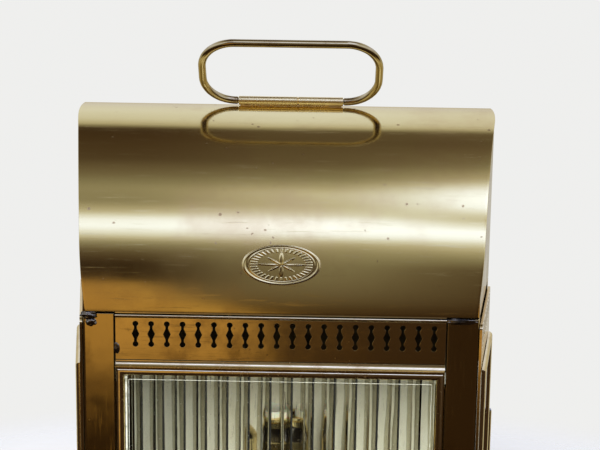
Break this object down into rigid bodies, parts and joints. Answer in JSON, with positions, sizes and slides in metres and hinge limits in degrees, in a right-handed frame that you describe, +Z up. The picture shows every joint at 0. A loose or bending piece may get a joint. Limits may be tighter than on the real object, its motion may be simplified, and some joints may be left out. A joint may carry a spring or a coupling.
{
  "type": "candle lantern",
  "caption": "Wall candle lantern with a curved hood, ring handle, pierced friezes, ribbed front pane, side door and spring candle tube.",
  "frame": {"origin": "middle of the footprint on the ground plane", "axes": "+X to the lantern's right as seen from the front, +Y from front to back, +Z up"},
  "size_m": [0.2192, 0.0908, 0.3759],
  "materials": {
    "brass": "aged, softly polished",
    "dark_brass": "dark with tarnish",
    "tin": "polished tinplate",
    "steel": "plain",
    "glass": "clear, bevelled",
    "wax": "candle wax",
    "cotton": "cotton cord"
  },
  "bodies": {
    "body": {"hood": "brass", "gable_left": "brass", "gable_right": "brass", "badge": "brass", "handle_sleeve": "brass", "post_front_left": "brass", "post_front_right": "brass", "post_back_left": "brass", "post_back_right": "brass", "front_frieze": "brass", "front_cove": "brass", "top_bead": "brass", "front_surround": "brass", "front_glass": "glass", "front_retainer_left": "brass", "front_retainer_right": "brass", "front_rail": "brass", "back_plate": "dark_brass", "hanger_plate": "dark_brass", "hanger_rivet_left": "brass", "hanger_rivet_right": "brass", "plinth": "dark_brass", "floor_plate": "dark_brass", "left_leaf": "brass", "left_surround": "brass", "left_glass": "glass", "left_retainer": "brass", "post_knuckle_low": "brass", "post_knuckle_high": "brass", "hinge_pin": "steel", "reflector": "tin", "reflector_stud_left": "brass", "reflector_stud_right": "brass", "smoke_shield": "tin", "shield_bracket_left": "brass", "shield_bracket_right": "brass", "candle_tube": "brass", "tube_flange": "brass", "flange_screw_left": "steel", "flange_screw_right": "steel", "wax_pan": "brass", "tube_spring": "steel"},
    "handle": {"handle_ring": "brass"},
    "door": {"door_leaf": "brass", "door_surround": "brass", "door_glass": "glass", "door_retainer": "brass", "door_knuckle": "brass"},
    "latch": {"latch_knob": "brass", "latch_tongue": "brass"},
    "cap": {"candle_cap": "brass"},
    "candle_stack": {"candle_follower": "tin", "candle": "wax", "wick": "cotton"}
  },
  "joints": [
    {"name": "handle_swing", "type": "hinge", "parent": "body", "child": "handle", "pos_m": [0, 0.0405, 0.3425], "axis": [1, 0, 0], "range_deg": [-130, 50]},
    {"name": "door_swing", "type": "hinge", "parent": "body", "child": "door", "pos_m": [0.1077, 0.03954, 0.1], "axis": [0, 0, 1], "range_deg": [0, 120]},
    {"name": "latch_turn", "type": "hinge", "parent": "door", "child": "latch", "pos_m": [0.09334, -0.03255, 0.02865], "axis": [0.9891, -0.1472, 0], "range_deg": [0, 90]},
    {"name": "cap_twist", "type": "hinge", "parent": "body", "child": "cap", "pos_m": [0, 0.002, 0.178], "axis": [0, 0, 1], "range_deg": [0, 33]},
    {"name": "candle_push", "type": "slide", "parent": "body", "child": "candle_stack", "axis": [0, 0, 1], "range_m": [-0.04, 0], "stiffness_N_per_m": 60, "springref_m": 0.02, "deforming": ["tube_spring"]}
  ]
}
